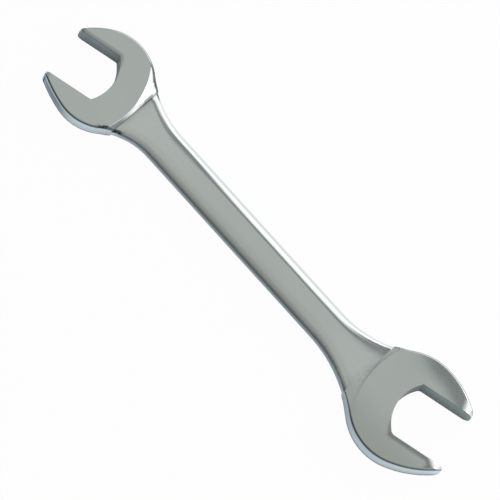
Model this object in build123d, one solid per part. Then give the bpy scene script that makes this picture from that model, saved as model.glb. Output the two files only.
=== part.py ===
from build123d import *
from dataclasses import dataclass
import math
import os

# Double open end wrench, drop forged in one piece from a steel bar.
# X runs along the shank from the small head to the large one, Z is up and the wrench lies flat.

# Jaw sizes across the flats, and the distance between the centres of the two round heads.
small_opening = 27.0
large_opening = 30.0
head_spacing = 221.5

# Shank: a flat bar with nearly full round edges.
shank_width = 20.2
shank_thickness = 8.0
shank_edge_share = 0.925

# Shape of the small head.
small_head_radius = 25.8
small_head_thickness = 11.8
small_head_shift = 1.1
small_throat_depth = 5.4
small_throat_radius = 21.0
small_throat_corner_radius = 1.2
small_near_reach = 25.6
small_far_reach = 23.1
small_near_tip_width = 1.55
small_far_tip_width = 1.2
small_side_start_angle = 66.0
small_nose_radius = 3.0
small_step_share = 0.79
small_crease_share = 0.872
small_near_flare_radius = 36.0
small_far_flare_radius = 55.0

# Shape of the large head.
large_head_radius = 29.3
large_head_thickness = 12.5
large_head_shift = 0.5
large_throat_depth = 5.8
large_throat_radius = 21.0
large_throat_corner_radius = 2.6
large_near_reach = 29.0
large_far_reach = 30.6
large_near_tip_width = 1.5
large_far_tip_width = 1.2
large_side_start_angle = 78.0
large_nose_radius = 4.0
large_step_share = 0.855
large_crease_share = 0.925
large_near_flare_radius = 60.0
large_far_flare_radius = 70.0

# What both heads share. The near side of a head is the side that its jaws turn towards.
jaw_angle = 15.0
slot_shift = -0.45
tip_radius = 1.4
rim_chamfer = 0.7
crease_edge_radius = 2.6
step_radius_share = 1.62
overrun = 2.0
flare_sections = 6


@dataclass
class Head:
    """One head in its own frame: the origin is the centre of its round part, and +X points away from the shank."""

    opening: float
    radius: float
    thickness: float
    shift: float
    throat_depth: float
    throat_radius: float
    throat_corner_radius: float
    near_reach: float
    far_reach: float
    near_tip_width: float
    far_tip_width: float
    side_start_angle: float
    nose_radius: float
    step_share: float
    crease_share: float
    near_flare_radius: float
    far_flare_radius: float

    def __post_init__(self):
        self.half_opening = self.opening / 2
        self.crease_depth = self.radius * self.crease_share
        self.front = math.hypot(max(self.near_reach, self.far_reach), self.radius) + overrun

    def flare(self, side):
        """Centre of a flare's arc, and where the arc leaves the head's circle. Side is 1 for near, -1 for far."""
        flare_radius = self.near_flare_radius if side > 0 else self.far_flare_radius
        edge = shank_width / 2 - side * self.shift
        back = math.sqrt((self.radius - edge) * (self.radius + edge + 2 * flare_radius))
        centre = (-back, side * (edge + flare_radius))
        share = self.radius / (self.radius + flare_radius)
        return centre, (centre[0] * share, centre[1] * share), flare_radius

    def edge(self, x, side):
        """Distance from the head's centre line to the shank's edge at x, on the near or the far side."""
        centre, _, flare_radius = self.flare(side)
        along = max(x - centre[0], 0)
        return abs(centre[1]) - math.sqrt(flare_radius**2 - along**2)

    def jaws(self):
        """Outer outline of the round head with its jaws, the mouth still closed, turned to the jaw angle."""
        start = math.radians(self.side_start_angle)
        leave_x, leave_y = self.radius * math.cos(start), self.radius * math.sin(start)
        near_tip = (self.near_reach, self.half_opening + slot_shift + self.near_tip_width)
        far_tip = (self.far_reach, slot_shift - self.half_opening - self.far_tip_width)
        with BuildSketch() as outline:
            with BuildLine():
                ThreePointArc((leave_x, leave_y), (-self.radius, 0), (leave_x, -leave_y))
                TangentArc((leave_x, leave_y), near_tip, tangent=(math.sin(start), -math.cos(start)))
                Line(near_tip, far_tip)
                TangentArc((leave_x, -leave_y), far_tip, tangent=(math.sin(start), math.cos(start)))
            make_face()
            fillet(outline.vertices().sort_by(Axis.X)[-2:], tip_radius)
        return Rot(0, 0, jaw_angle) * outline.sketch

    def neck(self):
        """Outline between the head's circle and the crease, bounded by the two flares."""
        arcs = {}
        for side in (1, -1):
            touch = self.flare(side)[1]
            crease = (-self.crease_depth, side * self.edge(-self.crease_depth, side))
            middle_x = (crease[0] + touch[0]) / 2
            arcs[side] = (crease, (middle_x, side * self.edge(middle_x, side)), touch)
        with BuildSketch() as outline:
            with BuildLine():
                ThreePointArc(*arcs[1])
                Polyline(arcs[1][-1], (0, 0), arcs[-1][-1])
                ThreePointArc(*arcs[-1])
                Line(arcs[-1][0], arcs[1][0])
            make_face()
        return outline.sketch

    def outline(self):
        """Plan outline of the head and its neck, cut off straight at the crease."""
        behind = Pos(-self.crease_depth - self.front, 0) * Rectangle(2 * self.front, 2 * self.front)
        return self.jaws() + self.neck() - behind

    def ramp(self):
        """Solid under the raised face: it falls from the round step to the straight crease."""
        half_span = self.radius + overrun
        turn = math.radians(jaw_angle)
        step_radius = self.radius * step_radius_share
        step_depth = self.radius * self.step_share
        lead = step_radius - step_depth
        centre = (lead * math.cos(turn), lead * math.sin(turn))
        back = (-step_depth * math.cos(turn), -step_depth * math.sin(turn))
        ends = [
            (centre[0] - math.sqrt(step_radius**2 - (y - centre[1]) ** 2), y)
            for y in (half_span, -half_span)
        ]
        corners = [(self.front, -half_span), (self.front, half_span)]
        with BuildSketch() as face:
            with BuildLine():
                ThreePointArc(ends[0], back, ends[1])
                Polyline(ends[1], *corners, ends[0])
            make_face()
        with BuildSketch() as foot:
            with BuildLine():
                Polyline((-self.crease_depth, half_span), (-self.crease_depth, -half_span), *corners, close=True)
            make_face()
        sections = [Pos(0, 0, shank_thickness / 2) * foot.sketch, Pos(0, 0, self.thickness / 2) * face.sketch]
        return loft(Sketch() + sections, ruled=True)

    def slot(self):
        """Space between the jaws: two flats that end in a round throat, open at the mouth."""
        lead = self.throat_radius - self.throat_depth
        flat_end = lead - math.sqrt(self.throat_radius**2 - self.half_opening**2)
        with BuildSketch() as outline:
            with BuildLine():
                ThreePointArc((flat_end, self.half_opening), (-self.throat_depth, 0), (flat_end, -self.half_opening))
                Polyline(
                    (flat_end, -self.half_opening),
                    (self.front, -self.half_opening),
                    (self.front, self.half_opening),
                    (flat_end, self.half_opening),
                )
            make_face()
            fillet(outline.vertices().sort_by(Axis.X)[:2], self.throat_corner_radius)
        placed = Rot(0, 0, jaw_angle) * Pos(0, slot_shift) * outline.sketch
        return extrude(placed, self.thickness, both=True)

    def nose(self):
        """Side profiles that round the ends of both jaw tips, above and below, each at its own reach."""
        breadth = self.radius + overrun

        def half(reach, side):
            length = breadth + reach
            bar = Pos(length / 2 - breadth, side * breadth / 2, 0) * Box(length, breadth, self.thickness)
            return fillet(bar.edges().filter_by(Axis.Y).group_by(Axis.X)[-1], self.nose_radius)

        return Rot(0, 0, jaw_angle) * (half(self.near_reach, 1) + half(self.far_reach, -1))

    def solid(self):
        """The finished head with its neck, from the crease to the tips."""
        body = extrude(self.outline(), self.thickness / 2, both=True)
        levels = body.edges().group_by(Axis.Z)
        # The edge at the crease comes first along X, and stays sharp.
        rims = levels[0].sort_by(Axis.X)[1:] + levels[-1].sort_by(Axis.X)[1:]
        body = chamfer(rims, rim_chamfer)
        ramp = self.ramp()
        core_length = self.crease_depth + self.front
        core_middle = (self.front - self.crease_depth) / 2
        core = Pos(core_middle, 0, 0) * Box(core_length, 2 * self.front, shank_thickness)
        body = body & (core + ramp + mirror(ramp, Plane.XY))
        body = body & self.nose()
        return body - self.slot()


def flare_stations(head, towards):
    """Sections of one flare, from the crease to where the bar is straight: place, middle, width and edge radius."""
    start = max(-head.flare(side)[0][0] for side in (1, -1))
    run = start - head.crease_depth
    shank_edge_radius = shank_thickness / 2 * shank_edge_share
    stations = []
    for step in range(flare_sections + 1):
        share = step / flare_sections
        depth = head.crease_depth + run * share
        near, far = head.edge(-depth, 1), head.edge(-depth, -1)
        ease_share = share * share * (3 - 2 * share)
        edge_radius = crease_edge_radius + (shank_edge_radius - crease_edge_radius) * ease_share
        place = towards * (head_spacing / 2 - depth)
        middle = towards * (head.shift + (near - far) / 2)
        stations.append((place, middle, near + far, edge_radius))
    return sorted(stations)


def section(station):
    """Cross section of the shank at one station."""
    place, middle, width, edge_radius = station
    plane = Plane(origin=(place, middle, 0), x_dir=(0, 1, 0), z_dir=(1, 0, 0))
    return (plane * RectangleRounded(width, shank_thickness, edge_radius)).face()


def shank(small, large):
    """Straight bar, and at each end a loft that widens it to the crease while its edges sharpen."""
    left, right = flare_stations(small, -1), flare_stations(large, 1)
    bar = extrude(section(left[-1]), right[0][0] - left[-1][0])
    return bar + loft([section(station) for station in left]) + loft([section(station) for station in right])


small_head = Head(
    opening=small_opening,
    radius=small_head_radius,
    thickness=small_head_thickness,
    shift=small_head_shift,
    throat_depth=small_throat_depth,
    throat_radius=small_throat_radius,
    throat_corner_radius=small_throat_corner_radius,
    near_reach=small_near_reach,
    far_reach=small_far_reach,
    near_tip_width=small_near_tip_width,
    far_tip_width=small_far_tip_width,
    side_start_angle=small_side_start_angle,
    nose_radius=small_nose_radius,
    step_share=small_step_share,
    crease_share=small_crease_share,
    near_flare_radius=small_near_flare_radius,
    far_flare_radius=small_far_flare_radius,
)
large_head = Head(
    opening=large_opening,
    radius=large_head_radius,
    thickness=large_head_thickness,
    shift=large_head_shift,
    throat_depth=large_throat_depth,
    throat_radius=large_throat_radius,
    throat_corner_radius=large_throat_corner_radius,
    near_reach=large_near_reach,
    far_reach=large_far_reach,
    near_tip_width=large_near_tip_width,
    far_tip_width=large_far_tip_width,
    side_start_angle=large_side_start_angle,
    nose_radius=large_nose_radius,
    step_share=large_step_share,
    crease_share=large_crease_share,
    near_flare_radius=large_near_flare_radius,
    far_flare_radius=large_far_flare_radius,
)
wrench = (
    shank(small_head, large_head)
    + Pos(-head_spacing / 2, -small_head.shift, 0) * Rot(0, 0, 180) * small_head.solid()
    + Pos(head_spacing / 2, large_head.shift, 0) * large_head.solid()
)
bounds = wrench.bounding_box()
origin = (bounds.center().X, bounds.center().Y, bounds.min.Z)
wrench = Pos(*(-value for value in origin)) * wrench
os.makedirs("parts", exist_ok=True)
export_step(wrench, "parts/wrench_forging.step")
print("origin", origin, "size", bounds.size, "faces", len(wrench.faces()), "solids", len(wrench.solids()))
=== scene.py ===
"""Double open end wrench: the polished forging, its chrome finish, the studio and the camera."""

import logging
import math
from dataclasses import dataclass, field
from enum import Enum
from typing import Any, TypeAlias

import bmesh
import bpy
from mathutils import Matrix, Vector


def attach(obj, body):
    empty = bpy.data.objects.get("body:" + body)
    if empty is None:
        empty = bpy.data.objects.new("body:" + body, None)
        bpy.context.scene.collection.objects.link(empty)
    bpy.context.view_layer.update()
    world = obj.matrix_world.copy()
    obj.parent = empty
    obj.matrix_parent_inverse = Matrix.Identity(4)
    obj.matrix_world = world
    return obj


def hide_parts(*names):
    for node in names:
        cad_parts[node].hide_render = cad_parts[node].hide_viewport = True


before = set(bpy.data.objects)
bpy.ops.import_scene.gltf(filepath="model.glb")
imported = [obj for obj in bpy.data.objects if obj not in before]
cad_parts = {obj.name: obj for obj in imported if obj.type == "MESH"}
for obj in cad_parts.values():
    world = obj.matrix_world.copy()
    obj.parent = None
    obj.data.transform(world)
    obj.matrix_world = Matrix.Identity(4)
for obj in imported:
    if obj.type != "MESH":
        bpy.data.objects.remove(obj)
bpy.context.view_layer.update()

log = logging.getLogger("wrench")

MM = 0.001
SLOT = "satin_chrome"
NODE = "wrench_forging"
NOISE_MEAN = 0.5
WHITE = (1.0, 1.0, 1.0)

Number: TypeAlias = "Field | float"
Span: TypeAlias = tuple[float, float]
Colour: TypeAlias = tuple[float, float, float]
Paint: TypeAlias = "Colour | bpy.types.NodeSocket"
Stops: TypeAlias = tuple[tuple[float, Colour], ...]


class Field:
    """A number that varies over a surface: a shader socket that takes part in Python sums."""

    def __init__(self, bench: "Bench", socket: bpy.types.NodeSocket) -> None:
        """Wraps one output socket.

        Args:
            bench: the tree that the socket belongs to.
            socket: the output that gives the number.
        """
        self.bench = bench
        self.socket = socket

    def math(self, operation: str, *others: Number) -> "Field":
        """Adds one Math node with this number first.

        Args:
            operation: the Math node's operation.
            others: the numbers that follow this one.

        Returns:
            The node's result.
        """
        return self.bench.math(operation, self, *others)

    def __add__(self, other: Number) -> "Field":
        """This number plus another."""
        return self.math("ADD", other)

    def __radd__(self, other: Number) -> "Field":
        """Another number plus this one."""
        return self.bench.math("ADD", other, self)

    def __sub__(self, other: Number) -> "Field":
        """This number less another."""
        return self.math("SUBTRACT", other)

    def __rsub__(self, other: Number) -> "Field":
        """Another number less this one."""
        return self.bench.math("SUBTRACT", other, self)

    def __mul__(self, other: Number) -> "Field":
        """This number times another."""
        return self.math("MULTIPLY", other)

    def __rmul__(self, other: Number) -> "Field":
        """Another number times this one."""
        return self.bench.math("MULTIPLY", other, self)

    def __truediv__(self, other: Number) -> "Field":
        """This number divided by another."""
        return self.math("DIVIDE", other)

    def __rtruediv__(self, other: Number) -> "Field":
        """Another number divided by this one."""
        return self.bench.math("DIVIDE", other, self)

    def __neg__(self) -> "Field":
        """This number with its sign turned."""
        return self.math("MULTIPLY", -1.0)

    def __abs__(self) -> "Field":
        """This number without its sign."""
        return self.math("ABSOLUTE")

    def root(self) -> "Field":
        """The square root of this number."""
        return self.math("SQRT")

    def least(self, other: Number) -> "Field":
        """The smaller of this number and another."""
        return self.math("MINIMUM", other)

    def most(self, other: Number) -> "Field":
        """The larger of this number and another."""
        return self.math("MAXIMUM", other)

    def between(self, first: "Field", second: "Field") -> "Field":
        """Goes from one number to another as this one goes from 0 to 1."""
        return first * (1.0 - self) + second * self

    def rise(self, low: float, high: float) -> "Field":
        """Goes smoothly from 0 where this number is low to 1 where it is high.

        Args:
            low: the value at which the result is 0.
            high: the value at which the result is 1.

        Returns:
            The eased number.
        """
        node = self.bench.add(
            "ShaderNodeMapRange",
            {"interpolation_type": "SMOOTHSTEP"},
            {"Value": self, "From Min": low, "From Max": high},
        )
        return Field(self.bench, node.outputs["Result"])


class Bench:
    """A node tree under work, with one way to add each kind of node."""

    def __init__(self, tree: bpy.types.NodeTree) -> None:
        """Empties a tree and keeps it.

        Args:
            tree: the material's or the world's node tree.
        """
        self.tree = tree
        tree.nodes.clear()

    def add(
        self,
        kind: str,
        settings: dict[str, Any] | None = None,
        inputs: dict[str | int, Any] | None = None,
    ) -> bpy.types.Node:
        """Adds a node, sets it up, and gives its sockets their values or links.

        Args:
            kind: the node's type.
            settings: the node's own properties. The stops of a ramp go under "stops".
            inputs: values, sockets or fields, by the socket's name or number.

        Returns:
            The new node.
        """
        node = self.tree.nodes.new(kind)
        for name, value in (settings or {}).items():
            if name == "stops":
                self.set_stops(node.color_ramp, value)
            else:
                setattr(node, name, value)
        for key, value in (inputs or {}).items():
            socket = node.inputs[key]
            if isinstance(value, Field):
                value = value.socket
            if isinstance(value, bpy.types.NodeSocket):
                self.tree.links.new(value, socket)
            else:
                socket.default_value = value
        return node

    @staticmethod
    def set_stops(ramp: bpy.types.ColorRamp, stops: Stops) -> None:
        """Gives a colour ramp its stops.

        Args:
            ramp: the ramp, with the two stops that it starts with.
            stops: places from 0 to 1 with their colours.
        """
        while len(ramp.elements) < len(stops):
            ramp.elements.new(0.5)
        for element, (place, colour) in zip(ramp.elements, stops):
            element.position = place
            element.color = (*colour, 1.0)

    def math(self, operation: str, *values: Number) -> Field:
        """Adds a Math node.

        Args:
            operation: the node's operation.
            values: its numbers, in order.

        Returns:
            The node's result.
        """
        node = self.add("ShaderNodeMath", {"operation": operation}, dict(enumerate(values)))
        return Field(self, node.outputs[0])

    def split(self, vector: bpy.types.NodeSocket) -> tuple[Field, Field, Field]:
        """Takes a vector apart.

        Args:
            vector: the vector's socket.

        Returns:
            Its X, Y and Z.
        """
        node = self.add("ShaderNodeSeparateXYZ", None, {0: vector})
        x, y, z = (Field(self, node.outputs[axis]) for axis in "XYZ")
        return x, y, z

    def mix_colour(self, share: Number, first: Paint, second: Paint) -> bpy.types.NodeSocket:
        """Blends two colours.

        Args:
            share: how much of the second colour shows.
            first: a colour or a colour socket.
            second: a colour or a colour socket.

        Returns:
            The blended colour's socket.
        """
        first, second = (
            (*paint, 1.0) if isinstance(paint, tuple) else paint for paint in (first, second)
        )
        node = self.add("ShaderNodeMix", {"data_type": "RGBA"}, {0: share, 6: first, 7: second})
        return node.outputs[2]

    def noise(
        self,
        place: bpy.types.NodeSocket,
        scales: tuple[float, float, float],
        detail: float,
        roughness: float,
    ) -> Field:
        """Soft random variation around NOISE_MEAN.

        Args:
            place: the place on the surface.
            scales: how many swells there are to one unit of the place, along X, Y and Z.
            detail: how many finer layers lie on them.
            roughness: how strong each finer layer is.

        Returns:
            The variation.
        """
        scaled = self.add("ShaderNodeMapping", None, {"Vector": place, "Scale": scales})
        node = self.add(
            "ShaderNodeTexNoise",
            {"noise_dimensions": "3D"},
            {"Vector": scaled.outputs[0], "Scale": 1.0, "Detail": detail, "Roughness": roughness},
        )
        return Field(self, node.outputs["Fac"])


class HeadSide(Enum):
    """Which end of the shank a head is on: the sign of its own X axis."""

    SMALL = -1
    LARGE = 1


@dataclass(frozen=True)
class JawHead:
    """One head as the finish needs it, in millimetres: where it is and where its jaws are.

    A hand is 1 for the side that the jaws turn towards, and -1 for the other one. The middle of the wrench's
    box is given from the point midway between the two heads.
    """

    side: HeadSide
    opening: float
    radius: float
    thickness: float
    shift: float
    throat_depth: float
    reaches: dict[int, float]
    tip_widths: dict[int, float]
    flare_radii: dict[int, float]
    side_start_angle: float
    step_share: float
    crease_share: float
    throat_radius: float = 21.0
    jaw_angle: float = 15.0
    slot_shift: float = -0.45
    step_radius_share: float = 1.62
    shank_width: float = 20.2
    spacing: float = 221.5
    box_middle: tuple[float, float] = (3.77988, 0.51087)
    arc_blend: float = 3.0

    @property
    def centre(self) -> tuple[float, float]:
        """Middle of the round head."""
        sign = self.side.value
        return sign * self.spacing / 2 - self.box_middle[0], sign * self.shift - self.box_middle[1]

    @property
    def crease_depth(self) -> float:
        """How far behind the head's centre the ramp's foot lies."""
        return self.radius * self.crease_share

    @property
    def step_circle(self) -> tuple[float, float]:
        """Where the round step's circle has its middle along the jaws, and its radius."""
        step_radius = self.radius * self.step_radius_share
        return step_radius - self.radius * self.step_share, step_radius

    def on_step(self, places: list[Vector], reach: float) -> bool:
        """Whether all of several points lie on the round edge of the raised face, above or below.

        Args:
            places: the points, in millimetres.
            reach: how far off the edge they may be.

        Returns:
            True if they do.
        """
        lead, step_radius = self.step_circle
        for place in places:
            u, v = self.in_jaws(place.x, place.y)
            off = abs(math.hypot(u - lead, v + self.slot_shift) - step_radius)
            if u >= 0.0 or off >= reach:
                return False
        return True

    def prong_arc(self, hand: int) -> tuple[float, float, float]:
        """Works out the arc that bounds one prong on its outer side, in the frame of the jaws.

        Args:
            hand: which prong it is.

        Returns:
            The arc's centre along and across the jaws, and its radius.
        """
        start = math.radians(self.side_start_angle)
        normal = Vector((math.cos(start), hand * math.sin(start)))
        half_width = self.opening / 2 + self.tip_widths[hand]
        tip = Vector((self.reaches[hand], self.slot_shift + hand * half_width))
        chord = tip - normal * self.radius
        arc_radius = chord.length_squared / (-2.0 * chord.dot(normal))
        centre = normal * (self.radius - arc_radius)
        return centre.x, centre.y, arc_radius

    def flare_arc(self, hand: int) -> tuple[float, float, float]:
        """Works out the arc that widens the shank to the head, in the head's own frame.

        Args:
            hand: which side of the shank it is on.

        Returns:
            The arc's centre along and across the head, and its radius.
        """
        flare = self.flare_radii[hand]
        edge = self.shank_width / 2 - hand * self.shift
        back = math.sqrt((self.radius - edge) * (self.radius + edge + 2 * flare))
        return -back, hand * (edge + flare), flare

    def shank_rim(self, x: Field, y: Field) -> Field:
        """Distance inside the edges of the shank and its flares, in millimetres.

        Args:
            x: place along the wrench, in millimetres.
            y: place across the wrench, in millimetres.

        Returns:
            The distance, true as far as the flares touch the round head.
        """
        along, aside = self.along(x, y)
        gaps = []
        for hand in (1, -1):
            flare_x, flare_y, flare = self.flare_arc(hand)
            ahead = (along - flare_x).most(0.0)
            beside = aside - flare_y
            gaps.append((ahead * ahead + beside * beside).root() - flare)
        return gaps[0].least(gaps[1])

    def flare_end(self, x: Field, y: Field) -> Field:
        """Distance behind the line where the flares touch the round head.

        Args:
            x: place along the wrench, in millimetres.
            y: place across the wrench, in millimetres.

        Returns:
            The distance in millimetres, below 0 within the head.
        """
        touches = [self.flare_arc(hand) for hand in (1, -1)]
        middle = sum(arc[0] * self.radius / (self.radius + arc[2]) for arc in touches) / 2
        return middle - self.along(x, y)[0]

    def head_rim(self, x: Field, y: Field) -> Field:
        """Distance inside the outer edge of the round head and its prongs, in millimetres.

        Args:
            x: place along the wrench, in millimetres.
            y: place across the wrench, in millimetres.

        Returns:
            The distance, below 0 outside the head.
        """
        u, v = self.in_jaws(x, y)
        v = v + self.slot_shift
        round_gap = self.radius - (u * u + v * v).root()
        gaps = []
        for hand in (1, -1):
            arc_x, arc_y, arc_radius = self.prong_arc(hand)
            ahead, beside = u - arc_x, v - arc_y
            gaps.append(arc_radius - (ahead * ahead + beside * beside).root())
        leave = self.radius * math.cos(math.radians(self.side_start_angle))
        share = u.rise(leave - self.arc_blend, leave + self.arc_blend)
        return round_gap + share * (gaps[0].least(gaps[1]) - round_gap)

    def along(self, x: Number, y: Number) -> tuple[Number, Number]:
        """Place in the head's own frame, whose X axis points away from the shank.

        Args:
            x: place along the wrench, in millimetres.
            y: place across the wrench, in millimetres.

        Returns:
            The place along and across the head.
        """
        sign = float(self.side.value)
        return (x - self.centre[0]) * sign, (y - self.centre[1]) * sign

    def in_jaws(self, x: Number, y: Number) -> tuple[Number, Number]:
        """Place in the frame of the jaws, whose X axis runs down the middle of the slot.

        Args:
            x: place along the wrench, in millimetres.
            y: place across the wrench, in millimetres.

        Returns:
            The place along the slot and across it from its middle.
        """
        across, aside = self.along(x, y)
        turn = math.radians(self.jaw_angle)
        u = across * math.cos(turn) + aside * math.sin(turn)
        v = aside * math.cos(turn) - across * math.sin(turn) - self.slot_shift
        return u, v

    def slot_gap(self, x: Field, y: Field) -> Field:
        """Distance outside the slot's walls: below 0 within the slot, and 0 on its walls.

        Args:
            x: place along the wrench, in millimetres.
            y: place across the wrench, in millimetres.

        Returns:
            The distance in millimetres, exact near the flats and the throat.
        """
        u, v = self.in_jaws(x, y)
        flats = abs(v) - self.opening / 2
        lead = self.throat_radius - self.throat_depth
        ahead = u - lead
        throat = (ahead * ahead + v * v).root() - self.throat_radius
        return flats.most(throat.least(-u))

    def tip_gap(self, x: Field, y: Field) -> Field:
        """Distance back from the end of the shorter prong, in millimetres."""
        return min(self.reaches.values()) - self.in_jaws(x, y)[0]

    def step_gap(self, x: Field, y: Field) -> Field:
        """Distance outside the raised face, across its round step.

        Args:
            x: place along the wrench, in millimetres.
            y: place across the wrench, in millimetres.

        Returns:
            The distance in millimetres, above 0 on the ramp and the shank.
        """
        u, v = self.in_jaws(x, y)
        lead, step_radius = self.step_circle
        ahead, aside = u - lead, v + self.slot_shift
        return ((ahead * ahead + aside * aside).root() - step_radius).least(-u)

    def crease_gap(self, x: Number, y: Number) -> Number:
        """Distance from the crease towards the shank, in millimetres."""
        return -self.along(x, y)[0] - self.crease_depth


SMALL_HEAD = JawHead(
    side=HeadSide.SMALL,
    opening=27.0,
    radius=25.8,
    thickness=11.8,
    shift=1.1,
    throat_depth=5.4,
    reaches={1: 25.6, -1: 23.1},
    tip_widths={1: 1.55, -1: 1.2},
    flare_radii={1: 36.0, -1: 55.0},
    side_start_angle=66.0,
    step_share=0.79,
    crease_share=0.872,
)
LARGE_HEAD = JawHead(
    side=HeadSide.LARGE,
    opening=30.0,
    radius=29.3,
    thickness=12.5,
    shift=0.5,
    throat_depth=5.8,
    reaches={1: 29.0, -1: 30.6},
    tip_widths={1: 1.5, -1: 1.2},
    flare_radii={1: 60.0, -1: 70.0},
    side_start_angle=78.0,
    step_share=0.855,
    crease_share=0.925,
)
SHANK_THICKNESS = 8.0
PARTING_HEIGHT = LARGE_HEAD.thickness / 2


class Texture(Enum):
    """Random variations: swells to the millimetre along X, Y and Z, finer layers, and their strength."""

    SWELL = ((0.045, 0.045, 0.045), 1.0, 0.5)
    DRIFT = ((0.02, 0.02, 0.02), 2.0, 0.5)
    STROKES = ((0.10, 1.9, 1.9), 3.0, 0.6)
    GRAIN = ((3.2, 3.2, 3.2), 2.0, 0.55)
    BROACH = ((2.6, 2.6, 0.12), 2.0, 0.6)
    PATCHES = ((0.55, 0.55, 0.55), 1.0, 0.5)


class Measure(Enum):
    """What a fade follows, each by its name in Surface."""

    X = "x"
    Y = "y"
    Z = "z"
    FACING = "facing"
    SLOT_GAP = "slot_gap"
    DOWN_SLOT = "down_slot"
    LARGE_REACH = "large_reach"
    LARGE_ASIDE = "large_aside"
    SMALL_CREASE = "small_crease"
    LARGE_CREASE = "large_crease"
    PAST_CREASES = "past_creases"
    SMALL_STEP = "small_step"
    LARGE_STEP = "large_step"
    RIM = "rim"
    DRIFT = "drift"
    GRAIN = "grain"
    PATCHES = "patches"


class Surface:
    """What the finish knows of each point of the wrench.

    Places and distances are in millimetres. Facing is 1 where the surface lies level and 0 where it
    stands upright. Down_slot and large_reach run from a head's centre towards the mouth of its jaws, and
    large_aside runs across the large head.
    """

    def __init__(self, bench: Bench) -> None:
        """Works out the measures.

        Args:
            bench: the material's node tree.
        """
        self.bench = bench
        own_place = bench.add("ShaderNodeTexCoord").outputs["Object"]
        scaled = bench.add(
            "ShaderNodeVectorMath", {"operation": "SCALE"}, {0: own_place, "Scale": 1.0 / MM}
        )
        self.place = scaled.outputs[0]
        self.x, self.y, self.z = bench.split(self.place)
        x, y = self.x, self.y
        normal = bench.add("ShaderNodeNewGeometry").outputs["True Normal"]
        self.facing = abs(bench.split(normal)[2])
        self.large_reach = LARGE_HEAD.in_jaws(x, y)[0]
        self.large_aside = LARGE_HEAD.along(x, y)[1]
        self.down_slot = SMALL_HEAD.in_jaws(x, y)[0].most(self.large_reach)
        self.slot_gap = SMALL_HEAD.slot_gap(x, y).least(LARGE_HEAD.slot_gap(x, y))
        self.small_crease = SMALL_HEAD.crease_gap(x, y)
        self.large_crease = LARGE_HEAD.crease_gap(x, y)
        self.past_creases = self.small_crease.least(self.large_crease)
        self.small_step = SMALL_HEAD.step_gap(x, y)
        self.large_step = LARGE_HEAD.step_gap(x, y)
        self.small_rim = SMALL_HEAD.head_rim(x, y)
        self.large_rim = LARGE_HEAD.head_rim(x, y)
        self.shank_rim = SMALL_HEAD.shank_rim(x, y).most(LARGE_HEAD.shank_rim(x, y))
        flare_end = SMALL_HEAD.flare_end(x, y).least(LARGE_HEAD.flare_end(x, y))
        self.rim = self.small_rim.most(self.large_rim).most(self.shank_rim.least(flare_end))
        self.swell, self.drift, self.strokes, self.grain, self.broach, self.patches = (
            bench.noise(self.place, *texture.value) for texture in Texture
        )


@dataclass(frozen=True)
class Fade:
    """How an effect comes or goes along one measure.

    It is 0 at none and 1 at full, whichever of the two is the greater. With a middle, it comes or goes
    both ways from there, and none and full are distances from it.
    """

    measure: Measure
    none: float
    full: float
    middle: float | None = None

    def over(self, surface: Surface) -> Field:
        """Works out where the effect shows.

        Args:
            surface: the wrench's surface.

        Returns:
            The effect's share, from 0 to 1.
        """
        value = getattr(surface, self.measure.value)
        if self.middle is not None:
            value = abs(value - self.middle)
        if self.none < self.full:
            return value.rise(self.none, self.full)
        return 1.0 - value.rise(self.full, self.none)


@dataclass(frozen=True)
class Mark:
    """A place on the wrench that has its own look: how strong it is there, and the fades that bound it."""

    share: float
    fades: tuple[Fade, ...]

    def over(self, surface: Surface) -> Field:
        """Works out where the mark shows.

        Args:
            surface: the wrench's surface.

        Returns:
            The mark's share, from 0 to its own.
        """
        cover = self.fades[0].over(surface)
        for fade in self.fades[1:]:
            cover = cover * fade.over(surface)
        return cover * self.share


LEVEL = Fade(Measure.FACING, 0.15, 0.4)
UPRIGHT = Fade(Measure.FACING, 0.4, 0.15)
ON_SHANK = Fade(Measure.PAST_CREASES, -0.5, 5.0)
OFF_SHANK = Fade(Measure.PAST_CREASES, 5.0, -0.5)
MACHINED = Fade(Measure.SLOT_GAP, 0.22, 0.05)
PLATED = Fade(Measure.SLOT_GAP, 0.05, 0.22)


@dataclass(frozen=True)
class Roll:
    """How a face falls away towards an edge: its slope grows from start to end, and then dies out.

    Steepening is the slope's gain over a millimetre. An end of 0 means that the slope grows up to the edge.
    """

    start: float
    end: float
    steepening: float

    def height(self, gap: Field) -> Field:
        """Height of the rolled face.

        Args:
            gap: distance from the edge, in millimetres.

        Returns:
            The height in millimetres, 0 farther in than the start.
        """
        near = (self.start - gap).most(0.0)
        height = near * near * (-0.5 * self.steepening)
        if self.end > 0.0:
            past = (self.end - gap).most(0.0)
            height = height + past * past * (0.5 * self.steepening * self.start / self.end)
        return height


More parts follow.
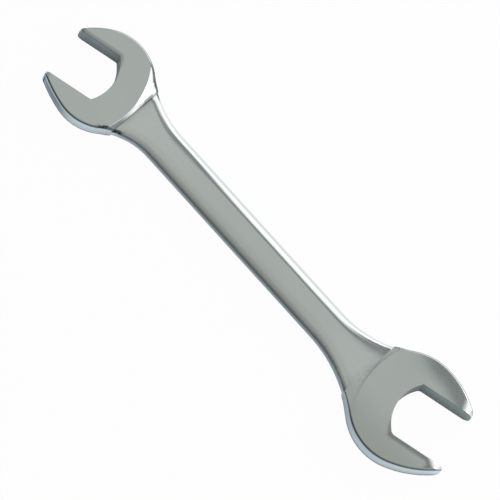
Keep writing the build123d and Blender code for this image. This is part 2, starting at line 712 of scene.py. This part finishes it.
@dataclass(frozen=True)
class BeltWork:
    """How the polishing belt and the forging die left the faces and the walls, as heights in millimetres."""

    shank_near_roll: Roll = Roll(8.5, 3.7, 0.017)
    shank_small_end_roll: Roll = Roll(7.3, 3.7, 0.028)
    shank_middle_roll: Roll = Roll(6.0, 3.7, 0.085)
    shank_large_end_roll: Roll = Roll(10.0, 3.4, 0.0145)
    small_rim_roll: Roll = Roll(2.0, 0.0, 0.025)
    large_rim_roll: Roll = Roll(12.0, 0.0, 0.0062)
    small_inner_roll: Roll = Roll(2.4, 0.0, 0.34)
    large_inner_roll: Roll = Roll(3.4, 0.0, 0.030)
    large_tip_roll: Roll = Roll(8.0, 0.0, 0.026)
    far_half: Fade = Fade(Measure.Y, -3.0, 3.0)
    shank_ends: Fade = Fade(Measure.X, 20.0, 75.0, middle=10.0)
    large_end: Fade = Fade(Measure.X, 45.0, 80.0)
    narrow_end: Mark = Mark(0.42, (Fade(Measure.SMALL_CREASE, 24.0, 0.0),))
    past_small_crease: Fade = Fade(Measure.SMALL_CREASE, -3.0, 0.0)
    past_large_crease: Fade = Fade(Measure.LARGE_CREASE, -4.0, 0.0)
    small_head_top: Fade = Fade(Measure.SMALL_CREASE, -2.0, -7.0)
    far_prong: Mark = Mark(1.0, (Fade(Measure.Y, 0.0, 14.0), Fade(Measure.LARGE_REACH, -12.0, 6.0)))
    inner_prong_side: Span = (6.0, 10.0)
    inner_prong_start: Span = (-6.0, 2.0)
    hollow_width: float = 3.0
    hollow_steepening: float = 0.035
    neck_swell: Mark = Mark(0.88, (Fade(Measure.LARGE_CREASE, 150.0, 0.0),))
    neck_sag: Mark = Mark(0.10, (Fade(Measure.LARGE_ASIDE, -3.0, -16.0),))
    least_ramp: float = 0.001
    belly: float = 0.7

    def height(self, surface: Surface) -> Field:
        """Height of the worked surface above the plain solid.

        Args:
            surface: the wrench's surface.

        Returns:
            The height in millimetres.
        """
        large_tip = LARGE_HEAD.tip_gap(surface.x, surface.y).most(0.0)
        return (
            self.rolled_shank(surface)
            + self.small_rim_roll.height(surface.small_rim.most(0.0)) * self.small_head_top.over(surface)
            + self.large_rim_roll.height(surface.large_rim.most(0.0)) * self.far_prong.over(surface)
            + self.rolled_prong(surface, SMALL_HEAD, self.small_inner_roll)
            + self.rolled_prong(surface, LARGE_HEAD, self.large_inner_roll)
            + self.large_tip_roll.height(large_tip)
            + self.hollow_ramp(surface)
            + self.swelling_neck(surface)
            + self.bellied_wall(surface)
        )

    def rolled_shank(self, surface: Surface) -> Field:
        """Height of the shank's face, rolled off towards both edges, which is narrower near the small head.

        Args:
            surface: the wrench's surface.

        Returns:
            The height in millimetres, 0 on the heads.
        """
        gap = surface.shank_rim * (1.0 + self.narrow_end.over(surface))
        far_end = self.large_end.over(surface).between(
            self.shank_small_end_roll.height(gap), self.shank_large_end_roll.height(gap)
        )
        far = self.shank_ends.over(surface).between(self.shank_middle_roll.height(gap), far_end)
        rolled = self.far_half.over(surface).between(self.shank_near_roll.height(gap), far)
        return rolled * self.past_small_crease.over(surface).least(self.past_large_crease.over(surface))

    def rolled_prong(self, surface: Surface, head: JawHead, roll: Roll) -> Field:
        """Height of a roll along the slot's edge, on the prong that the jaws turn away from.

        Args:
            surface: the wrench's surface.
            head: the head whose slot it follows.
            roll: how the face falls away towards the slot.

        Returns:
            The height in millimetres.
        """
        u, v = head.in_jaws(surface.x, surface.y)
        prong = (-v).rise(*self.inner_prong_side) * u.rise(*self.inner_prong_start)
        return roll.height(head.slot_gap(surface.x, surface.y).most(0.0)) * prong

    def hollow_ramp(self, surface: Surface) -> Field:
        """Height of the small head's ramp, which curves up softly before its crease.

        Args:
            surface: the wrench's surface.

        Returns:
            The height in millimetres, the same all over the rest of the head.
        """
        near = (self.hollow_width - surface.small_crease).most(0.0).least(self.hollow_width)
        return near * near * (0.5 * self.hollow_steepening)

    def swelling_neck(self, surface: Surface) -> Field:
        """Height by which the shank's face swells towards the large head and takes up most of its step.

        Args:
            surface: the wrench's surface.

        Returns:
            The height in millimetres, 0 on the head's own face.
        """
        climb = (LARGE_HEAD.thickness - SHANK_THICKNESS) / 2
        foot, step = (-surface.large_crease).most(0.0), surface.large_step.most(0.0)
        done = foot / (foot + step).most(self.least_ramp)
        left = 1.0 - done
        sag = done * left * self.neck_sag.over(surface)
        return (left * self.neck_swell.over(surface) - sag) * climb

    def bellied_wall(self, surface: Surface) -> Field:
        """Height of the walls' slight belly, which a forging die leaves.

        Args:
            surface: the wrench's surface.

        Returns:
            The belly's height in millimetres, 0 at the parting plane.
        """
        off = (surface.z - PARTING_HEIGHT) * (1.0 / PARTING_HEIGHT)
        return off * off * -self.belly


@dataclass(frozen=True)
class SatinChrome:
    """Satin chrome plating over hand ground steel, as this wrench has it, with painted shade and dark edge
    lines.
    """

    colour: Colour = (0.755, 0.795, 0.775)
    cool_colour: Colour = (0.735, 0.775, 0.76)
    neck_colour: Colour = (0.82, 0.855, 0.845)
    # Painted shade: the near side of the large head and its neck is darker.
    near_side_shade_colour: Colour = (0.60, 0.635, 0.60)
    # Slot walls: machined steel, duller than the plating, and darker still as painted shade.
    flat_and_shade_colour: Colour = (0.17, 0.19, 0.16)
    # Painted shade deep in the throats and at the foot of the slot walls.
    deep_flat_shade_colour: Colour = (0.015, 0.022, 0.016)
    # Painted shade along the small head's crease and the large head's step.
    crease_shade_colour: Colour = (0.32, 0.34, 0.33)
    # Painted shade: near-black hollows, rims and corners about the small head's ramp.
    painted_shade_colour: Colour = (0.03, 0.055, 0.06)
    # Painted shade: dark lines along the rims and wall edges, standing in for dark reflections.
    edge_shade_colour: Colour = (0.12, 0.13, 0.14)
    cool_drift: Fade = Fade(Measure.DRIFT, 0.40, 0.60)
    necks: Mark = Mark(1.0, (Fade(Measure.X, 25.0, 85.0, middle=0.0), ON_SHANK))
    # Painted shade on the near side of the large head, fading out along its neck.
    near_side_shade: Mark = Mark(
        1.0,
        (
            Fade(Measure.Y, -4.0, -26.0),
            Fade(Measure.LARGE_CREASE, 14.0, -4.0),
            Fade(Measure.FACING, 0.6, 0.9),
        ),
    )
    # Painted shade: the slot walls darken towards the throat and towards their foot.
    throat: Mark = Mark(0.4, (Fade(Measure.DOWN_SLOT, 9.0, -4.0),))
    slot_foot_shade: Mark = Mark(1.0, (Fade(Measure.Z, 12.5, 0.0),))
    flat_share: float = 0.85
    flat_variation: float = 0.4
    # Painted shade along the small crease, and along the far half of the large step.
    small_crease_shade: Mark = Mark(1.0, (Fade(Measure.SMALL_CREASE, 0.7, 0.05, middle=0.0),))
    large_step_shade: Mark = Mark(
        1.0, (Fade(Measure.LARGE_STEP, 0.7, 0.05, middle=0.0), Fade(Measure.Y, -16.0, 2.0))
    )
    crease_shade_share: float = 0.45
    crease_shade_grain: Fade = Fade(Measure.GRAIN, 0.30, 0.62)
    # Painted shade in the hollow where the small head's ramp meets its near side.
    pocket_shade: Mark = Mark(
        0.8,
        (
            Fade(Measure.Y, -0.5, -11.0),
            Fade(Measure.SMALL_CREASE, 0.9, -0.2),
            Fade(Measure.SMALL_STEP, -0.1, 0.3),
            LEVEL,
        ),
    )
    # Painted shade: a dark line along the far rim of the small head's ramp.
    ramp_rim_shade: Mark = Mark(
        0.9,
        (
            Fade(Measure.RIM, 1.6, 0.9),
            Fade(Measure.Y, 4.0, 8.0),
            Fade(Measure.SMALL_CREASE, -15.0, -10.0),
            Fade(Measure.SMALL_CREASE, 5.0, 1.0),
        ),
    )
    # Painted shade along the fold at the small head's crease, on its far half.
    fold_shade: Mark = Mark(
        0.65, (Fade(Measure.SMALL_CREASE, 1.3, 0.4, middle=-0.2), Fade(Measure.Y, -2.0, 7.0), LEVEL)
    )
    # Painted shade in near-black patches at the near corner of the small head's ramp.
    ramp_corner_shade: Mark = Mark(
        0.95,
        (
            Fade(Measure.SMALL_CREASE, 7.0, 3.5, middle=-1.0),
            Fade(Measure.Y, -9.0, -14.0),
            Fade(Measure.RIM, 2.1, 1.0),
            Fade(Measure.PATCHES, 0.32, 0.46),
            LEVEL,
        ),
    )
    # Painted shade: dark lines along the head faces' rims, and near the top and bottom of the head walls.
    rim_shade_line: Mark = Mark(0.8, (Fade(Measure.RIM, 0.8, 0.25), LEVEL, OFF_SHANK))
    wall_edge_shade: Mark = Mark(
        0.8, (Fade(Measure.Z, 3.4, 5.8, middle=PARTING_HEIGHT), UPRIGHT, PLATED, OFF_SHANK)
    )
    # Painted shade on the upper walls of the small head's prong tips.
    tip_wall_shade: Mark = Mark(
        0.9, (Fade(Measure.X, -108.0, -122.0), Fade(Measure.Z, 11.5, 7.5), UPRIGHT, PLATED)
    )
    # Painted shade on the shank's near wall.
    shank_wall_shade: Mark = Mark(
        0.5, (ON_SHANK, Fade(Measure.FACING, 0.65, 0.40), Fade(Measure.Y, -2.0, -6.0))
    )
    roughness: float = 0.13
    flat_roughness: float = 0.32
    stroke_roughness: float = 0.10
    grain_roughness: float = 0.06
    crease_shade_roughness: float = 0.08
    waviness: float = 0.035
    grain_height: float = 0.0016
    stroke_height: float = 0.0022
    broach_height: float = 0.006
    belt_work: BeltWork = BeltWork()

    def material(self) -> bpy.types.Material:
        """Builds the finish.

        Returns:
            The material.
        """
        material = bpy.data.materials.new(SLOT)
        material.use_nodes = True
        bench = Bench(material.node_tree)
        surface = Surface(bench)
        # Painted shade along the small crease and the large step; the plating is rougher there too.
        crease_shade = self.strongest(surface, (self.small_crease_shade, self.large_step_shade))
        height = self.height_over(surface)
        bump = bench.add("ShaderNodeBump", None, {"Strength": 1.0, "Distance": MM, "Height": height})
        shader = bench.add(
            "ShaderNodeBsdfPrincipled",
            None,
            {
                "Base Color": self.colour_over(surface, crease_shade),
                "Metallic": 1.0,
                "Roughness": self.roughness_over(surface, crease_shade),
                "Normal": bump.outputs[0],
            },
        )
        bench.add("ShaderNodeOutputMaterial", None, {"Surface": shader.outputs[0]})
        return material

    @staticmethod
    def strongest(surface: Surface, marks: tuple[Mark, ...]) -> Field:
        """Lays several marks over each other, of which the strongest shows.

        Args:
            surface: the wrench's surface.
            marks: the marks.

        Returns:
            Their share, from 0 to 1.
        """
        share = marks[0].over(surface)
        for mark in marks[1:]:
            share = share.most(mark.over(surface))
        return share

    def colour_over(self, surface: Surface, crease_shade: Field) -> bpy.types.NodeSocket:
        """Works out the plating's colour, with the shade and dark edge lines that are painted into it.

        Args:
            surface: the wrench's surface.
            crease_shade: where the painted shade along the small crease and the large step lies, from 0 to
                1.

        Returns:
            The colour's socket.
        """
        mix = surface.bench.mix_colour
        face = mix(self.cool_drift.over(surface), self.colour, self.cool_colour)
        # The shank's colour is lighter towards both heads.
        necks_lighter = mix(self.necks.over(surface), face, self.neck_colour)
        # Painted shade on the near side of the large head and its neck.
        near_side_shaded = mix(self.near_side_shade.over(surface), necks_lighter, self.near_side_shade_colour)
        # Slot walls: duller machined steel with painted shade, deepest towards the throat and the foot.
        slot_shade_depth = self.strongest(surface, (self.throat, self.slot_foot_shade))
        shaded_slot_wall = mix(slot_shade_depth, self.flat_and_shade_colour, self.deep_flat_shade_colour)
        bare = self.flat_share + self.flat_variation * (surface.broach - NOISE_MEAN)
        flats = mix(MACHINED.over(surface) * bare, near_side_shaded, shaded_slot_wall)
        # Painted shade along the small crease and the large step, broken up by the grain.
        crease_darkening = crease_shade * self.crease_shade_share * self.crease_shade_grain.over(surface)
        crease_shaded = mix(crease_darkening, flats, self.crease_shade_colour)
        # Painted shade about the small head's ramp: its hollow, far rim, fold and near corner.
        shade = self.strongest(surface, (self.pocket_shade, self.ramp_rim_shade, self.fold_shade, self.ramp_corner_shade))
        shaded = mix(shade, crease_shaded, self.painted_shade_colour)
        # Painted shade: dark lines along rims and wall edges, on the small prong tips and the shank's near
        # wall.
        shade_lines = self.rim_shade_line.over(surface) + self.wall_edge_shade.over(surface)
        dark = shade_lines.most(self.strongest(surface, (self.tip_wall_shade, self.shank_wall_shade)))
        return mix(dark, shaded, self.edge_shade_colour)

    def roughness_over(self, surface: Surface, crease_shade: Field) -> Field:
        """Works out how rough the plating is.

        Args:
            surface: the wrench's surface.
            crease_shade: where the painted shade along the small crease and the large step lies, from 0 to
                1.

        Returns:
            The roughness.
        """
        strokes = self.stroke_roughness * (surface.strokes - NOISE_MEAN)
        grain = self.grain_roughness * (surface.grain - NOISE_MEAN)
        flats = MACHINED.over(surface) * (self.flat_roughness - self.roughness)
        return self.roughness + strokes + grain + flats + crease_shade * self.crease_shade_roughness

    def height_over(self, surface: Surface) -> Field:
        """Works out the height of the finished surface, from its rolls down to its grain.

        Args:
            surface: the wrench's surface.

        Returns:
            The height in millimetres.
        """
        return (
            self.belt_work.height(surface)
            + self.waviness * surface.swell
            + self.grain_height * surface.grain
            + PLATED.over(surface) * self.stroke_height * surface.strokes
            + MACHINED.over(surface) * self.broach_height * surface.broach
        )


@dataclass
class Forging:
    """The wrench itself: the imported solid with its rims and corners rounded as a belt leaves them."""

    heads: tuple[JawHead, ...] = (SMALL_HEAD, LARGE_HEAD)
    finish: SatinChrome = field(default_factory=SatinChrome)
    merge_distance: float = 0.002
    flat_angle: float = 0.3
    sharp_angle: float = 30.0
    smooth_angle: float = 50.0
    rim_width: float = 0.24
    rim_segments: int = 3
    rim_profile: float = 0.5
    crease_clearance: float = 0.9
    line_reach: float = 0.03
    area_weight: int = 50

    def build(self) -> bpy.types.Object:
        """Copies the solid, cleans its mesh, rounds its edges and dresses it.

        Returns:
            The finished piece.
        """
        piece = self.copy_solid()
        self.clean(piece)
        self.round_rims(piece)
        self.smooth(piece)
        piece.data.materials.clear()
        piece.data.materials.append(self.finish.material())
        return piece

    def copy_solid(self) -> bpy.types.Object:
        """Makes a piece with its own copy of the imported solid's mesh.

        Returns:
            The piece, which is selected and active.
        """
        bpy.ops.object.select_all(action="DESELECT")
        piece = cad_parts[NODE].copy()
        piece.data = piece.data.copy()
        piece.name = piece.data.name = "forged_wrench"
        piece.parent = None
        for key in list(piece.keys()):
            del piece[key]
        bpy.context.scene.collection.objects.link(piece)
        bpy.context.view_layer.objects.active = piece
        piece.select_set(True)
        return piece

    def clean(self, piece: bpy.types.Object) -> None:
        """Merges the loose triangles and makes each flat face one face.

        Args:
            piece: the copy.
        """
        bpy.ops.object.mode_set(mode="EDIT")
        bpy.ops.mesh.select_all(action="SELECT")
        bpy.ops.mesh.customdata_custom_splitnormals_clear()
        bpy.ops.mesh.remove_doubles(threshold=self.merge_distance * MM)
        bpy.ops.mesh.dissolve_limited(angle_limit=math.radians(self.flat_angle))
        bpy.ops.object.mode_set(mode="OBJECT")
        log.info("%s cleaned: %d faces", piece.name, len(piece.data.polygons))

    def round_rims(self, piece: bpy.types.Object) -> None:
        """Bevels the sharp edges into narrow rounds, away from the creases.

        Args:
            piece: the cleaned copy.
        """
        bpy.ops.object.mode_set(mode="EDIT")
        bpy.ops.mesh.select_mode(type="EDGE")
        bpy.ops.mesh.select_all(action="DESELECT")
        shape = bmesh.from_edit_mesh(piece.data)
        for edge in shape.edges:
            sharp = edge.is_manifold and edge.calc_face_angle(0.0) > math.radians(self.sharp_angle)
            clear = self.crease_gap(edge) > self.crease_clearance
            edge.select = sharp and clear and not self.on_line(edge)
        shape.select_flush_mode()
        bmesh.update_edit_mesh(piece.data)
        bpy.ops.mesh.bevel(
            offset=self.rim_width * MM,
            segments=self.rim_segments,
            profile=self.rim_profile,
            clamp_overlap=False,
        )
        bpy.ops.object.mode_set(mode="OBJECT")
        log.info("%s rounded: %d faces", piece.name, len(piece.data.polygons))

    def crease_gap(self, edge: bmesh.types.BMEdge) -> float:
        """Least distance from an edge's ends to either crease, in millimetres."""
        places = [vertex.co / MM for vertex in edge.verts]
        return min(abs(head.crease_gap(place.x, place.y)) for head in self.heads for place in places)

    def on_line(self, edge: bmesh.types.BMEdge) -> bool:
        """Whether an edge follows a head's round step or a crease, with both of its ends.

        Args:
            edge: an edge of the mesh.

        Returns:
            True if it does.
        """
        places = [vertex.co / MM for vertex in edge.verts]
        return any(
            head.on_step(places, self.line_reach)
            or all(abs(head.crease_gap(place.x, place.y)) < self.line_reach for place in places)
            for head in self.heads
        )

    def smooth(self, piece: bpy.types.Object) -> None:
        """Shades the rounds smooth, and keeps the flats flat and the ramps' edges crisp.

        Args:
            piece: the rounded copy.
        """
        bpy.ops.object.shade_smooth_by_angle(angle=math.radians(self.smooth_angle))
        bpy.ops.object.mode_set(mode="EDIT")
        shape = bmesh.from_edit_mesh(piece.data)
        for edge in shape.edges:
            if self.on_line(edge):
                edge.smooth = False
        bmesh.update_edit_mesh(piece.data)
        bpy.ops.object.mode_set(mode="OBJECT")
        weighted = piece.modifiers.new("flat faces first", "WEIGHTED_NORMAL")
        weighted.mode = "FACE_AREA"
        weighted.keep_sharp = True
        weighted.weight = self.area_weight
        bpy.ops.object.modifier_apply(modifier=weighted.name)


@dataclass(frozen=True)
class Studio:
    """White table and soft light: grey overhead, bright beyond the far side and dark on the near one.

    The floor's own spans are in millimetres. In mirrors it darkens with the distance from the wrench's near
    edge. The spans of the sky's dusk and haze are parts of its radius, upwards and along Y.
    """

    floor_size: float = 6.0
    floor_drop: float = 0.05
    floor_colour: Colour = (0.90, 0.93, 0.97)
    shade_colour: Colour = (0.78, 0.90, 1.0)
    camera_white: float = 0.97
    mirror_white: float = 0.85
    bright_mirror_white: float = 0.95
    bright_floor: Span = (10.0, 45.0)
    near_edge: float = 10.5
    head_spread: float = 20.0
    head_start: Span = (75.0, 105.0)
    fading_length: float = 20.0
    contact_reach: float = 0.012
    contact_samples: int = 4
    bright_azimuth: float = 62.0
    sky_strength: float = 1.35
    horizon_colour: Colour = (0.10, 0.107, 0.104)
    dusk_height: Span = (0.25, 0.45)
    dusk_side: Span = (-0.75, -0.35)
    haze_colour: Colour = (0.65, 0.66, 0.67)
    haze_height: Span = (0.27, 0.34)
    haze_side: Span = (0.2, 0.6)
    window_place: tuple[float, float, float] = (0.42, 0.62, 0.52)
    window_size: tuple[float, float] = (0.55, 0.55)
    window_glow: float = 1.5
    sky: Stops = (
        (0.06, (0.11, 0.113, 0.11)),
        (0.13, (0.166, 0.17, 0.166)),
        (0.22, (0.228, 0.233, 0.228)),
        (0.42, (0.274, 0.28, 0.274)),
        (0.50, (0.295, 0.302, 0.295)),
        (0.60, (0.37, 0.38, 0.37)),
        (0.632, (0.385, 0.397, 0.385)),
        (0.66, (0.15, 0.16, 0.16)),
        (0.69, (0.12, 0.13, 0.13)),
        (0.72, (0.60, 0.61, 0.62)),
        (0.745, WHITE),
    )

    def build(self) -> None:
        """Lays the table, lights the sky and hangs the lamp."""
        self.lay_floor()
        self.light_sky()
        self.hang_window()

    def lay_floor(self) -> None:
        """Adds the white table, which keeps a pale shadow."""
        bpy.ops.mesh.primitive_plane_add(size=self.floor_size, location=(0, 0, -self.floor_drop * MM))
        floor = bpy.context.object
        floor.name = "white_table"
        material = bpy.data.materials.new("white_table")
        material.use_nodes = True
        bench = Bench(material.node_tree)
        path = bench.add("ShaderNodeLightPath").outputs
        camera = Field(bench, path["Is Camera Ray"])
        mirror = Field(bench, path["Is Glossy Ray"]).most(Field(bench, path["Is Transmission Ray"]))
        own_place = bench.add("ShaderNodeTexCoord").outputs["Object"]
        x, y = (part * (1.0 / MM) for part in bench.split(own_place)[:2])
        bright = y.rise(*self.bright_floor)
        edge = self.near_edge + self.head_spread * abs(x).rise(*self.head_start)
        fading = self.fading_length / ((-y - edge).most(0.0) + self.fading_length)
        tint = bench.mix_colour(bright.most(camera), self.shade_colour, WHITE)
        white = bench.add("ShaderNodeEmission", None, {"Color": tint, "Strength": fading.most(camera)})
        contact = bench.add(
            "ShaderNodeAmbientOcclusion",
            {"samples": self.contact_samples},
            {"Distance": self.contact_reach},
        )
        openness = Field(bench, contact.outputs["AO"])
        in_mirrors = self.mirror_white + bright * (self.bright_mirror_white - self.mirror_white)
        share = camera * self.camera_white + mirror * openness * in_mirrors
        diffuse = bench.add("ShaderNodeBsdfDiffuse", None, {"Color": (*self.floor_colour, 1.0)})
        layers = {0: share, 1: diffuse.outputs[0], 2: white.outputs[0]}
        mixed = bench.add("ShaderNodeMixShader", None, layers)
        bench.add("ShaderNodeOutputMaterial", None, {"Surface": mixed.outputs[0]})
        floor.data.materials.append(material)

    def light_sky(self) -> None:
        """Gives the room around the table its light, from dark on one side to bright on the other."""
        world = bpy.data.worlds.new("light_room")
        bpy.context.scene.world = world
        world.use_nodes = True
        bench = Bench(world.node_tree)
        direction = bench.add("ShaderNodeTexCoord").outputs["Generated"]
        azimuth = math.radians(self.bright_azimuth)
        towards = bench.add(
            "ShaderNodeVectorMath",
            {"operation": "DOT_PRODUCT"},
            {0: direction, 1: (math.cos(azimuth), math.sin(azimuth), 0.0)},
        )
        side = Field(bench, towards.outputs["Value"]) * 0.5 + 0.5
        ramp = bench.add("ShaderNodeValToRGB", {"stops": self.sky}, {0: side})
        _, across, above = bench.split(direction)
        haze = (1.0 - above.rise(*self.haze_height)) * across.rise(*self.haze_side)
        clear = bench.mix_colour(haze, ramp.outputs[0], self.haze_colour)
        dusk = (1.0 - above.rise(*self.dusk_height)) * (1.0 - across.rise(*self.dusk_side))
        sky = bench.mix_colour(dusk, clear, self.horizon_colour)
        light = {"Color": sky, "Strength": self.sky_strength}
        background = bench.add("ShaderNodeBackground", None, light)
        bench.add("ShaderNodeOutputWorld", None, {"Surface": background.outputs[0]})

    def hang_window(self) -> None:
        """Hangs one softbox that faces the wrench, as bright as a window."""
        data = bpy.data.lights.new("window", "AREA")
        data.shape = "RECTANGLE"
        data.size, data.size_y = self.window_size
        data.energy = self.window_glow * math.pi * data.size * data.size_y
        lamp = bpy.data.objects.new("window", data)
        lamp.location = self.window_place
        lamp.rotation_euler = (-Vector(self.window_place)).to_track_quat("-Z", "Y").to_euler()
        bpy.context.scene.collection.objects.link(lamp)


@dataclass(frozen=True)
class Camera:
    """The photograph's camera: far off, nearly straight above, and turned so that the wrench lies aslant.

    Lengths are in millimetres and angles in degrees.
    """

    target: tuple[float, float, float] = (0.31, -0.07, 6.25)
    tilt: float = 17.5
    yaw: float = 4.5
    roll: float = 47.8
    distance: float = 3000.0
    frame_width: float = 246.5
    offset: tuple[float, float] = (-4.98, 0.39)
    sensor_width: float = 36.0

    def build(self) -> None:
        """Places the camera and makes it the scene's own."""
        tilt, yaw, roll = math.radians(self.tilt), math.radians(self.yaw), math.radians(self.roll)
        above = Vector((0.0, -math.sin(tilt), math.cos(tilt)))
        lean = Vector((0.0, math.cos(tilt), math.sin(tilt)))
        length = Vector((1.0, 0.0, 0.0))
        back = math.cos(yaw) * above + math.sin(yaw) * length
        along = math.cos(yaw) * length - math.sin(yaw) * above
        right = math.cos(roll) * along + math.sin(roll) * lean
        up = -math.sin(roll) * along + math.cos(roll) * lean
        place = Vector(self.target) + back * self.distance + right * self.offset[0] + up * self.offset[1]
        data = bpy.data.cameras.new("photograph")
        data.sensor_width = self.sensor_width
        data.lens = self.sensor_width * self.distance / self.frame_width
        camera = bpy.data.objects.new("photograph", data)
        turn = Matrix((right, up, back)).transposed().to_4x4()
        camera.matrix_world = Matrix.Translation(place * MM) @ turn
        bpy.context.scene.collection.objects.link(camera)
        bpy.context.scene.camera = camera


def main() -> None:
    """Builds the camera, the studio and the wrench."""
    logging.basicConfig(level=logging.INFO, format="%(name)s: %(message)s")
    bpy.context.scene.view_settings.view_transform = "Standard"
    Camera().build()
    Studio().build()
    piece = Forging().build()
    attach(piece, "root")
    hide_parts(NODE)
    log.info("%s finished", piece.name)


if __name__ == "__main__":
    main()
